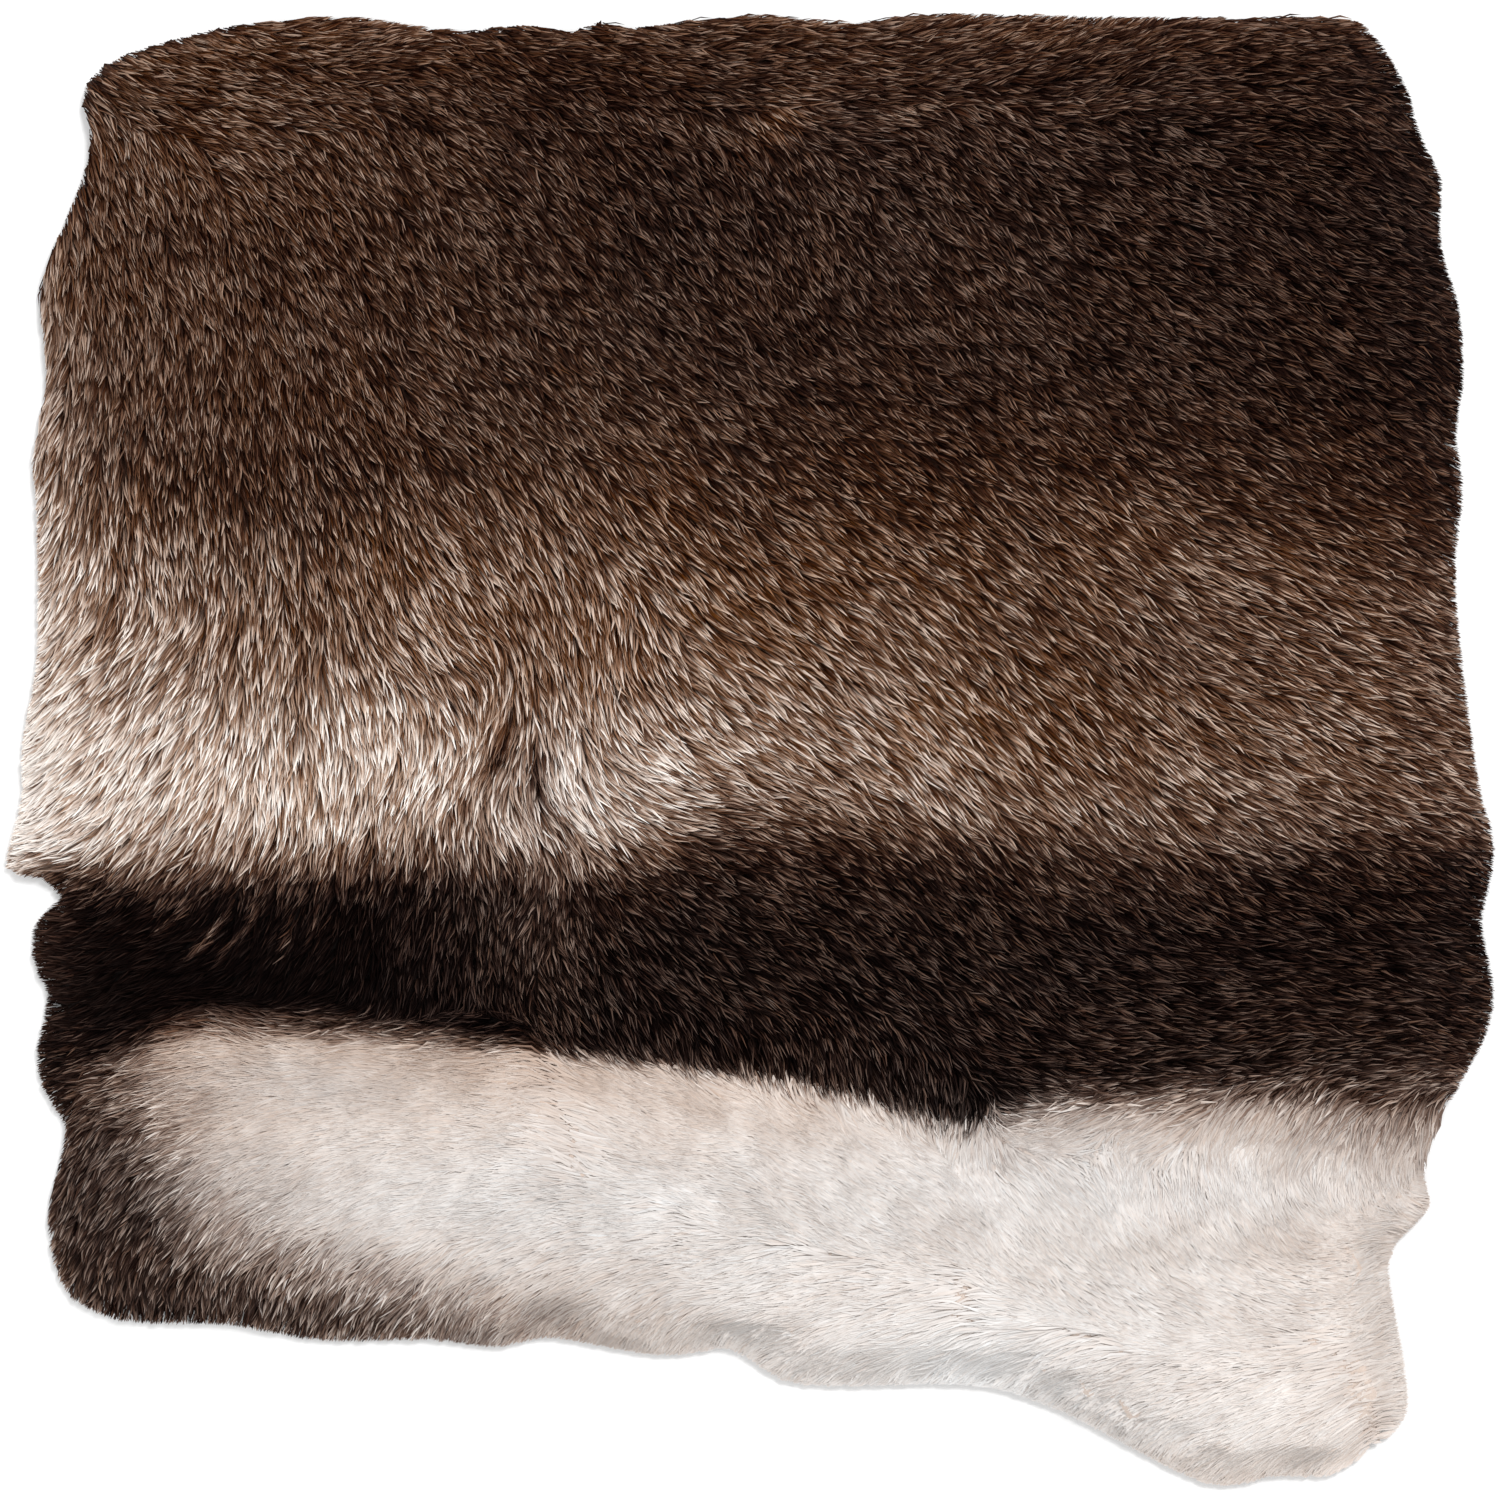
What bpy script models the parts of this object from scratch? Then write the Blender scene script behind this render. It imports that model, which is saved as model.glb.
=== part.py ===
# Reindeer skin seat pad: one piece cut from a hide, lying flat with the hair side up.
# The leather is a thin flat sheet. The coat grows out of it and hangs over its cut edge in locks,
# so leather and coat are one solid: a lumpy slab with a flat underside and a rim of pointed locks.
# X runs along the animal's side, Y from the belly (-Y) up to the back (+Y), Z up.
# The tables are in millimetres, and the model is built in metres.

import math
import random

import bpy
import numpy as np
from mathutils import Vector
from mathutils.geometry import delaunay_2d_cdt

MM = 0.001

# Driving dimensions, in millimetres
PAD_WIDTH = 400.0          # across the widest pair of locks
SKIN_THICKNESS = 1.5
SKIN_INSET = 6.5           # from the coat's outline in to the leather's cut edge
BACK_PILE = 15.0           # top of the coat over the dark back and flank
BELLY_PILE = 20.0          # top of the longer coat over the white belly
BELLY_LINE = -95.0         # Y where the belly coat begins
BELLY_BLEND = 30.0         # over which the pile grows from one height to the other
ROLL_OFF = 25.0            # width of the rounded shoulder inside the rim
LOCK_TIP_Z = 2.2           # the rim's lock tips droop close to what the pad lies on
LOCK_ROOT_Z = 4.6          # where two locks part
LOCK_RIDGE_RISE = 2.2      # how much higher the ridge of each lock starts
LOCK_RIDGE_REACH = 1.3     # of the way from the tip to the line between the roots
LOCK_PITCH = 6.2
LOCK_DEPTH_LEAST = 1.8     # of the gap between two locks, where the hair lies along the rim
LOCK_DEPTH_MORE = 2.6      # added where the hair points straight out over the rim
LOCK_SWEEP = 1.8           # how far a tip is carried sideways by hair that lies along the rim
TOP_PITCH = 7.6            # spacing of the points on the top
SKIN_EDGE_PITCH = 5.5      # spacing of the points along the leather's edge
TUFT_PITCH = 17.0
TUFT_LENGTH = 11.0
TUFT_WIDTH = 4.6
TUFT_RISE = 2.0
OUTLINE_STEP = 0.8         # spacing of the smoothed outline
SEED = 7

# The cut outline, one row of stations for each side. Columns: x, y
BACK_EDGE = [
    (-180, 174), (-177, 181), (-168, 187), (-137, 195), (-107, 196), (-82, 193), (-59, 195), (-51, 192),
    (-41, 196), (-34, 194), (-3, 197), (25, 195), (45, 197), (112, 196), (150, 197),
]
RUMP_EDGE = [
    (163, 195), (169, 189), (177, 175), (179, 165), (185, 153), (185, 135), (190, 118), (191, 98), (189, 86),
    (191, 70), (189, 50), (190, 30), (195, -8), (199, -23), (199, -32), (196, -47), (199, -70), (186, -97),
    (180, -111), (182, -122), (172, -133), (171, -141), (176, -171), (173, -182),
]
BELLY_EDGE = [
    (155, -194), (141, -194), (127, -197), (112, -192), (83, -177), (59, -170), (16, -170), (4, -166),
    (-6, -160), (-24, -162), (-55, -157), (-67, -160), (-85, -158), (-116, -158), (-140, -154), (-168, -153),
]
SHOULDER_EDGE = [
    (-180, -148), (-185, -142), (-188, -125), (-183, -100), (-189, -93), (-191, -80), (-188, -66),
    (-192, -57), (-192, -47), (-184, -39), (-187, -35), (-198, -33), (-199, -28), (-195, -13), (-195, 1),
    (-191, 25), (-191, 65), (-192, 77), (-188, 99), (-190, 125), (-185, 140), (-178, 158), (-178, 168),
]
OUTLINE = (BACK_EDGE + RUMP_EDGE + BELLY_EDGE + SHOULDER_EDGE)[::-1]

# Which way the hair lies. Columns: x, y, heading in degrees from +X
COMBED = [
    (-160, 188, -20), (-50, 190, -8), (60, 190, 14), (160, 190, 0),
    (-165, 150, -60), (-90, 150, -42), (0, 150, -40), (90, 150, -25), (165, 150, -30),
    (-180, 90, -100), (-120, 90, -75), (-50, 90, -40), (30, 90, -36), (110, 90, -34), (185, 90, -35),
    (-188, 20, -125), (-130, 20, -98), (-70, 15, -75), (0, 20, -40), (80, 20, -45), (185, 20, -22),
    (-190, -45, -178), (-140, -45, -145), (-80, -45, -92), (-20, -45, -36), (60, -45, -40), (185, -45, -20),
    (-180, -100, -155), (-100, -95, -178), (-30, -95, -15), (40, -95, -42), (80, -98, -165), (180, -98, -160),
    (-175, -145, -110), (-100, -140, -125), (-30, -145, -142), (60, -160, -150), (120, -128, -45),
    (165, -135, 8), (165, -165, -30), (100, -180, -138), (150, -185, -136),
]
COMB_REACH = 26.0          # how far one combed heading is felt

# Swells and creases of the lying hide. Columns: x, y, half length, half width, turn in degrees, rise
SWELLS = [
    (65, -143, 34, 20, 10, 1.8),       # soft white swell of the belly
    (142, -152, 26, 20, -10, 1.8),     # its neighbour in the flap
    (-95, -112, 60, 16, 4, 1.2),       # long swell below the dark band's left half
    (-130, -8, 50, 14, -3, 1.3),       # pale band that hangs over the dark one
    (-58, -4, 15, 10, 55, -2.4),       # dip of the whorl
    (-118, 22, 22, 5, 78, -1.3),       # short cleft in the flank
    (58, -103, 26, 6, -14, -3.0),      # where two lays of hair meet at the white line
    (-95, -73, 80, 7, -5, -1.6),       # white line, left half
    (120, -96, 55, 6, 2, -1.3),        # white line, right half
    (-160, -36, 40, 6, 8, -2.0),       # step under the pale band
    (70, 168, 105, 5, 0, -1.3),        # parting along the back
    (-60, 120, 70, 40, -20, 0.9),      # slow waves of the back
    (80, 60, 80, 42, -15, -0.8),
    (150, -50, 40, 40, 0, 0.9),
]

# Colour, roughness and metallic value of the coat seen from afar
COAT_BROWN = (0.12, 0.075, 0.055, 1.0)
COAT_ROUGHNESS = 0.75


def clear_scene():
    for obj in list(bpy.data.objects):
        bpy.data.objects.remove(obj)


def smooth_loop(stations, step):
    """A closed Catmull-Rom curve through the stations, as evenly spaced points."""
    points = np.array(stations, float)
    before, after, beyond = np.roll(points, 1, 0), np.roll(points, -1, 0), np.roll(points, -2, 0)
    fine = []
    for t in np.linspace(0, 1, 24, endpoint=False):
        fine.append(0.5 * (2 * points + (after - before) * t
                           + (2 * before - 5 * points + 4 * after - beyond) * t ** 2
                           + (3 * points - before - 3 * after + beyond) * t ** 3))
    fine = np.stack(fine, 1).reshape(-1, 2)
    return evenly_spaced(fine, step)


def evenly_spaced(loop, step):
    closed = np.vstack([loop, loop[:1]])
    along = np.concatenate([[0], np.cumsum(np.linalg.norm(np.diff(closed, axis=0), axis=1))])
    at = np.linspace(0, along[-1], max(3, round(along[-1] / step)), endpoint=False)
    return np.stack([np.interp(at, along, closed[:, k]) for k in (0, 1)], 1)


def distance_to(loop, points):
    """How far each point is from the nearest point of the finely spaced loop."""
    return np.array([np.sqrt(((loop - p) ** 2).sum(1).min()) for p in points])


def inside(loop, points):
    """Whether each point is inside the loop, by counting the edges that a ray to the right crosses."""
    (x1, y1), (x2, y2) = loop.T, np.roll(loop, -1, 0).T
    found = []
    for x, y in points:
        spans = (y1 > y) != (y2 > y)
        crossing = x1[spans] + (y - y1[spans]) * (x2[spans] - x1[spans]) / (y2[spans] - y1[spans])
        found.append((crossing > x).sum() % 2 == 1)
    return np.array(found)


def frame_of(loop):
    """Unit tangents and outward normals of a counter-clockwise loop, a little smoothed."""
    ahead, behind = np.roll(loop, -3, 0), np.roll(loop, 3, 0)
    tangent = ahead - behind
    tangent /= np.linalg.norm(tangent, axis=1)[:, None]
    return tangent, np.stack([tangent[:, 1], -tangent[:, 0]], 1)


def lay_of_hair(points):
    """The unit direction in which the combed table lays the hair at each point."""
    table = np.array(COMBED, float)
    heading = np.radians(table[:, 2])
    strokes = np.stack([np.cos(heading), np.sin(heading)], 1)
    apart = ((points[:, None] - table[None, :, :2]) ** 2).sum(2)
    weight = 1 / (apart + COMB_REACH ** 2) ** 3
    laid = weight @ strokes
    return laid / np.linalg.norm(laid, axis=1)[:, None]


def rim_of_locks(outline):
    """The rim as a zigzag: a tip on the outline, then a root set back from it, for each lock.

    Returns the rim and the inner ends of the locks' ridges, as arrays of x, y, z.
    """
    rng = random.Random(SEED)
    tangent, normal = frame_of(outline)
    lay = lay_of_hair(outline)
    step = len(outline) / round(len(outline) * OUTLINE_STEP / LOCK_PITCH)
    tips, roots = [], []
    for k in range(round(len(outline) / step)):
        at = (k + 0.18 * rng.uniform(-1, 1)) * step
        sweep = LOCK_SWEEP * (lay[int(at) % len(outline)] @ tangent[int(at) % len(outline)])
        tip = int(at + sweep / OUTLINE_STEP) % len(outline)
        root = int((k + 0.5) * step) % len(outline)
        outward = max(0.0, lay[root] @ normal[root])
        depth = (LOCK_DEPTH_LEAST + LOCK_DEPTH_MORE * outward) * rng.uniform(0.75, 1.2)
        set_back = outline[root] - normal[root] * depth
        clear = distance_to(outline, [set_back])[0]
        if clear < 0.8 * depth:
            set_back = outline[root] - normal[root] * LOCK_DEPTH_LEAST * 0.7
        tips.append((*outline[tip], LOCK_TIP_Z * rng.uniform(0.85, 1.25)))
        roots.append((*set_back, LOCK_ROOT_Z * rng.uniform(0.9, 1.1)))
    tips, roots = np.array(tips), np.array(roots)
    base = (roots + np.roll(roots, 1, 0)) / 2
    ridges = tips + (base - tips) * LOCK_RIDGE_REACH
    ridges[:, 2] = base[:, 2] + LOCK_RIDGE_RISE
    return np.stack([tips, roots], 1).reshape(-1, 3), ridges


def inset_loop(outline, depth, step):
    """The outline moved inwards, without the stretches that fold over in its nicks."""
    _, normal = frame_of(outline)
    moved = outline - normal * depth
    kept = moved[distance_to(outline, moved) > 0.97 * depth]
    return evenly_spaced(kept, step)


def top_grid(outline):
    """Points for the top, on a jittered honeycomb that keeps clear of the rim."""
    rng = random.Random(SEED + 1)
    low, high = outline.min(0), outline.max(0)
    rows = int((high[1] - low[1]) / (TOP_PITCH * 0.866))
    columns = int((high[0] - low[0]) / TOP_PITCH)
    points = np.array([
        (low[0] + (c + 0.5 * (r % 2) + rng.uniform(-0.12, 0.12)) * TOP_PITCH,
         low[1] + (r + rng.uniform(-0.12, 0.12)) * TOP_PITCH * 0.866)
        for r in range(rows + 1) for c in range(columns + 1)
    ])
    points = points[inside(outline, points)]
    return points[distance_to(outline, points) > LOCK_DEPTH_LEAST + LOCK_DEPTH_MORE + 0.45 * TOP_PITCH]


def pile_height(points):
    """Height of the coat's top before the rim rounds it off: long on the belly, short on the back."""
    share = np.clip((BELLY_LINE + BELLY_BLEND / 2 - points[:, 1]) / BELLY_BLEND, 0, 1)
    share = share * share * (3 - 2 * share)
    return BACK_PILE + (BELLY_PILE - BACK_PILE) * share


def swell_height(points):
    total = np.zeros(len(points))
    for x, y, half_length, half_width, turn, rise in SWELLS:
        c, s = math.cos(math.radians(turn)), math.sin(math.radians(turn))
        dx, dy = points[:, 0] - x, points[:, 1] - y
        along, across = (dx * c + dy * s) / half_length, (dy * c - dx * s) / half_width
        total += rise * np.exp(-along ** 2 - across ** 2)
    return total


def tuft_height(points, outline):
    """Long low lumps that lie with the hair, one for each tuft."""
    rng = random.Random(SEED + 2)
    low, high = outline.min(0), outline.max(0)
    across, up = int((high[0] - low[0]) / TUFT_PITCH) + 1, int((high[1] - low[1]) / TUFT_PITCH) + 1
    middles = np.array([
        (low[0] + (c + rng.uniform(0.1, 0.9)) * TUFT_PITCH, low[1] + (r + rng.uniform(0.1, 0.9)) * TUFT_PITCH)
        for r in range(up) for c in range(across)
    ])
    lay = lay_of_hair(middles)
    total = np.zeros(len(points))
    for middle, way in zip(middles, lay):
        apart = points - middle
        along = apart @ way / TUFT_LENGTH
        aside = (apart[:, 1] * way[0] - apart[:, 0] * way[1]) / TUFT_WIDTH
        total += TUFT_RISE * np.exp(-along ** 2 - aside ** 2)
    return total


def top_height(points, outline):
    """The coat's top: the pile with its swells and tufts, rounded down to the locks at the rim."""
    inward = np.clip(distance_to(outline, points) / ROLL_OFF, 0, 1)
    shoulder = 1 - (1 - inward) ** 2
    full = pile_height(points) + swell_height(points)
    return LOCK_ROOT_Z + (full - LOCK_ROOT_Z) * shoulder + tuft_height(points, outline) * inward


def ring(start, count):
    """The edges of a closed loop of points that are numbered from start."""
    return [(start + i, start + (i + 1) % count) for i in range(count)]


def triangles_between(points, edges, keep):
    """Delaunay triangles over the points, with the given edges kept, where keep(middles) is true."""
    made = delaunay_2d_cdt([Vector(p) for p in points], edges, [], 0, 1e-6)
    if len(made[0]) != len(points):
        raise ValueError("the rim crosses itself")
    origin = [given[0] for given in made[3]]
    faces = [[origin[i] for i in face] for face in made[2]]
    middles = np.array([points[face].mean(0) for face in faces])
    return [face for face, kept in zip(faces, keep(middles)) if kept]


def hide_mesh():
    """Vertices in millimetres and faces of the whole hide."""
    outline = smooth_loop(OUTLINE, OUTLINE_STEP)
    rim, ridges = rim_of_locks(outline)
    edge = rim[:, :2]
    skin = inset_loop(outline, SKIN_INSET, SKIN_EDGE_PITCH)
    top = top_grid(outline)
    rim_count, ridge_count, skin_count = len(rim), len(ridges), len(skin)

    # The coat's top, from the rim inwards. Each lock's tip is joined to its ridge.
    vertices = [*rim, *ridges, *np.column_stack([top, top_height(top, outline)])]
    ridge_lines = [(2 * k, rim_count + k) for k in range(ridge_count)]
    faces = triangles_between(
        np.array(vertices)[:, :2], ring(0, rim_count) + ridge_lines,
        lambda middles: inside(edge, middles),
    )

    # The underside of the overhanging coat, from the rim in to the leather's upper edge.
    upper = len(vertices)
    vertices += [(x, y, SKIN_THICKNESS) for x, y in skin]
    under = triangles_between(
        np.vstack([edge, skin]), ring(0, rim_count) + ring(rim_count, skin_count),
        lambda middles: inside(edge, middles) & ~inside(skin, middles),
    )
    numbers = [*range(rim_count), *range(upper, upper + skin_count)]
    faces += [[numbers[i] for i in reversed(face)] for face in under]

    # The leather: its cut edge, then its flat flesh side.
    lower = len(vertices)
    vertices += [(x, y, 0.0) for x, y in skin]
    for i, j in ring(0, skin_count):
        faces.append([lower + i, lower + j, upper + j])
        faces.append([lower + i, upper + j, upper + i])
    flesh = triangles_between(skin, ring(0, skin_count), lambda middles: inside(skin, middles))
    faces += [[lower + i for i in reversed(face)] for face in flesh]
    return np.array(vertices), faces


def centred(vertices):
    """The vertices with the middle of their box over the origin, at the pad's stated width."""
    low, high = vertices.min(0), vertices.max(0)
    middle = (low + high) / 2
    scale = PAD_WIDTH / (high[0] - low[0])
    flat = (vertices[:, :2] - middle[:2]) * scale
    return np.column_stack([flat, vertices[:, 2]])


def coat_material():
    material = bpy.data.materials.new("coat")
    material.use_nodes = True
    shader = material.node_tree.nodes["Principled BSDF"]
    shader.inputs["Base Color"].default_value = COAT_BROWN
    shader.inputs["Roughness"].default_value = COAT_ROUGHNESS
    shader.inputs["Metallic"].default_value = 0.0
    return material


def build_hide():
    vertices, faces = hide_mesh()
    mesh = bpy.data.meshes.new("hide")
    mesh.from_pydata((centred(vertices) * MM).tolist(), [], faces)
    mesh.validate()
    mesh.shade_smooth()
    mesh.set_sharp_from_angle(angle=math.radians(50))
    mesh.materials.append(coat_material())
    hide = bpy.data.objects.new("hide", mesh)
    bpy.context.scene.collection.objects.link(hide)
    return hide


def main():
    clear_scene()
    build_hide()


main()
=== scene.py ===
# Reindeer skin seat pad, seen from straight above.
# The coat is grown in code: an undercoat fitted to the CAD hide, and blades of hair that follow
# a combed lay, clump into tufts and take their colour from the place where they lie.
# X runs along the animal's side, Y from the white belly (-Y) up to the dark back (+Y).
# The tables give millimetres, and everything that is built is in metres.

import math

import bpy
import numpy as np
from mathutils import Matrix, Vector
from mathutils.bvhtree import BVHTree
from mathutils.kdtree import KDTree


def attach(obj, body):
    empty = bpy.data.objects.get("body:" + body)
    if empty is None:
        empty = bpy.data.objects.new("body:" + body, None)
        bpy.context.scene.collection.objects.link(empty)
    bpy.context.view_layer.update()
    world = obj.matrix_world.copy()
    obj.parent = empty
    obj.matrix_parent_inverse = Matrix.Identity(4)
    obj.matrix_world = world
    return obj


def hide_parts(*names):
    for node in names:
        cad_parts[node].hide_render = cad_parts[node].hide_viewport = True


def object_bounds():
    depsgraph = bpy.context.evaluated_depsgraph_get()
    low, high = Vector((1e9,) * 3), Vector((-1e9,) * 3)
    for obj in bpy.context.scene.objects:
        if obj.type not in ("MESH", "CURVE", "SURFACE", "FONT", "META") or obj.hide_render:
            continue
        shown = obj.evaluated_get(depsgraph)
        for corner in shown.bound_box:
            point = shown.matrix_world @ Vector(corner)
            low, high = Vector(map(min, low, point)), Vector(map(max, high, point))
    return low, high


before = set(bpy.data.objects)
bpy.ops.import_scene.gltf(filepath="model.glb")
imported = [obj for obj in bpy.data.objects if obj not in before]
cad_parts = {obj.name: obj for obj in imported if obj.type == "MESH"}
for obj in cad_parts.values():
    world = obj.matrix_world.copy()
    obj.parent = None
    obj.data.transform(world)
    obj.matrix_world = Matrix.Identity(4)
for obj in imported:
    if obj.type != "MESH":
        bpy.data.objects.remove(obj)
cadLow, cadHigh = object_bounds()
mm = 0.001
print("frame loaded:", [round(v, 4) for v in (*cadLow, *cadHigh)])


# The CAD hide, read once

def readHide():
    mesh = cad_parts["hide"].data
    raw = np.empty(len(mesh.vertices) * 3)
    mesh.vertices.foreach_get("co", raw)
    raw = raw.reshape(-1, 3)
    mesh.calc_loop_triangles()
    corners = np.empty(len(mesh.loop_triangles) * 3, int)
    mesh.loop_triangles.foreach_get("vertices", corners)
    _, first, number = np.unique(np.round(raw, 6), axis=0, return_index=True, return_inverse=True)
    points = raw[first]
    faces = number.reshape(-1)[corners].reshape(-1, 3)  # points that the file had split are one again
    faces = faces[(faces[:, 0] != faces[:, 1]) & (faces[:, 1] != faces[:, 2]) & (faces[:, 2] != faces[:, 0])]
    return points, faces


def faceNormals(points, faces):
    a, b, c = (points[faces[:, k]] for k in range(3))
    normal = np.cross(b - a, c - a)
    return normal / np.maximum(np.linalg.norm(normal, axis=1), 1e-15)[:, None]


def loopBetween(faces, inFirst, inSecond):  # the closed line of edges that part two sets of faces
    sides = {}
    for k, face in enumerate(faces.tolist()):
        for a, b in zip(face, face[1:] + face[:1]):
            sides[(a, b)] = k
    following = {}
    for (a, b), k in sides.items():
        other = sides.get((b, a))
        if inFirst[k] and other is not None and inSecond[other]:
            following[a] = b
    start = next(iter(following))
    loop = [start]
    while following[loop[-1]] != start:
        loop.append(following[loop[-1]])
    return loop


hidePoints, hideFaces = readHide()
hideNormals = faceNormals(hidePoints, hideFaces)
facingUp = hideNormals[:, 2] > 0.02
isFlesh = hidePoints[hideFaces][:, :, 2].max(1) < 1e-5
rimLoop = loopBetween(hideFaces, facingUp, ~facingUp)
fleshLoop = loopBetween(hideFaces, isFlesh, ~isFlesh)[::-1]
rimPoints = hidePoints[rimLoop]
lockTips = rimPoints[rimPoints[:, 2] < 3.4 * mm]  # the low points of the rim are the locks' tips
leatherEdge = hidePoints[fleshLoop][:, :2]
print("hide read:", len(hideFaces), "faces,", len(lockTips), "locks,", len(leatherEdge), "points of cut edge")


# Maps of the coat: one value for each square millimetre, read between them smoothly

mapGrid = {
    "pitch": 1.0 * mm,
    "margin": 8.0 * mm,  # how far the maps reach past the CAD box
    "heightBlur": 3,  # passes that take the CAD's facets out of the height
    "edgeHeight": 1.6 * mm,  # height that hair outside the rim droops to
    # tried in turn, as a ray can slip between two faces
    "nudges": ((0, 0), (0.11 * mm, 0.07 * mm), (-0.09 * mm, 0.13 * mm)),
}

gridX = np.arange(cadLow.x - mapGrid["margin"], cadHigh.x + mapGrid["margin"], mapGrid["pitch"])
gridY = np.arange(cadLow.y - mapGrid["margin"], cadHigh.y + mapGrid["margin"], mapGrid["pitch"])
cellX, cellY = np.meshgrid(gridX, gridY)
cells = np.column_stack([cellX.ravel(), cellY.ravel()])


def readMap(values, places):
    fx = np.clip((places[:, 0] - gridX[0]) / mapGrid["pitch"], 0, len(gridX) - 1.001)
    fy = np.clip((places[:, 1] - gridY[0]) / mapGrid["pitch"], 0, len(gridY) - 1.001)
    ix, iy = fx.astype(int), fy.astype(int)
    tx, ty = fx - ix, fy - iy
    if values.ndim == 3:
        tx, ty = tx[:, None], ty[:, None]
    low = values[iy, ix] * (1 - tx) + values[iy, ix + 1] * tx
    high = values[iy + 1, ix] * (1 - tx) + values[iy + 1, ix + 1] * tx
    return low * (1 - ty) + high * ty


def blurMap(values, passes):
    for _ in range(passes):
        for axis in (0, 1):
            padded = np.concatenate([values.take([0], axis), values, values.take([-1], axis)], axis)
            count = values.shape[axis]
            before, middle, after = (padded.take(range(k, k + count), axis) for k in range(3))
            values = (before + 2 * middle + after) / 4
    return values


def insideLoop(loop, places):
    found = np.zeros(len(places), bool)
    x, y = places[:, 0], places[:, 1]
    for (x1, y1), (x2, y2) in zip(loop, np.roll(loop, -1, 0)):
        if y1 != y2:
            found ^= ((y1 > y) != (y2 > y)) & (x < x1 + (y - y1) * (x2 - x1) / (y2 - y1))
    return found


def spacedLoop(loop, step):
    closed = np.vstack([loop, loop[:1]])
    along = np.concatenate([[0], np.cumsum(np.linalg.norm(np.diff(closed, axis=0), axis=1))])
    at = np.linspace(0, along[-1], int(along[-1] / step), endpoint=False)
    return np.stack([np.interp(at, along, closed[:, k]) for k in (0, 1)], 1)


def mapEdgeDistance():  # positive inside the line through the locks' tips
    outline = spacedLoop(lockTips[:, :2], 0.7 * mm)
    tree = KDTree(len(outline))
    for k, (x, y) in enumerate(outline):
        tree.insert((x, y, 0), k)
    tree.balance()
    found = [tree.find((x, y, 0)) for x, y in cells]
    distance = np.array([hit[2] for hit in found])
    nearest = np.array([hit[0][:2] for hit in found])
    sign = np.where(insideLoop(outline, cells), 1.0, -1.0)
    outward = (nearest - cells) * sign[:, None]
    outward /= np.maximum(np.linalg.norm(outward, axis=1), 1e-9)[:, None]
    return (distance * sign).reshape(cellX.shape), outward.reshape(*cellX.shape, 2)


def mapHeight():
    tree = BVHTree.FromPolygons(hidePoints.tolist(), hideFaces.tolist())
    down = Vector((0, 0, -1))
    heights = np.full(len(cells), np.nan)
    for k, (x, y) in enumerate(cells):
        for aside, ahead in mapGrid["nudges"]:
            hit = tree.ray_cast(Vector((x + aside, y + ahead, 0.1)), down)[0]
            if hit is not None:
                heights[k] = hit.z
                break
    heights = heights.reshape(cellX.shape)
    return blurMap(np.where(np.isnan(heights), mapGrid["edgeHeight"], heights), mapGrid["heightBlur"])


edgeMap, outwardMap = mapEdgeDistance()
heightMap = mapHeight()
print("maps of height and edge made:", heightMap.shape)


# The lay of the coat, given as combed headings. Columns: x, y, heading in degrees from +X.
# A hair lies along the smooth mean of its neighbours' headings. Where two lays run against each other
# the hair keeps the mean line and parts, so the two ways are told apart at a clean parting.

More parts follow.
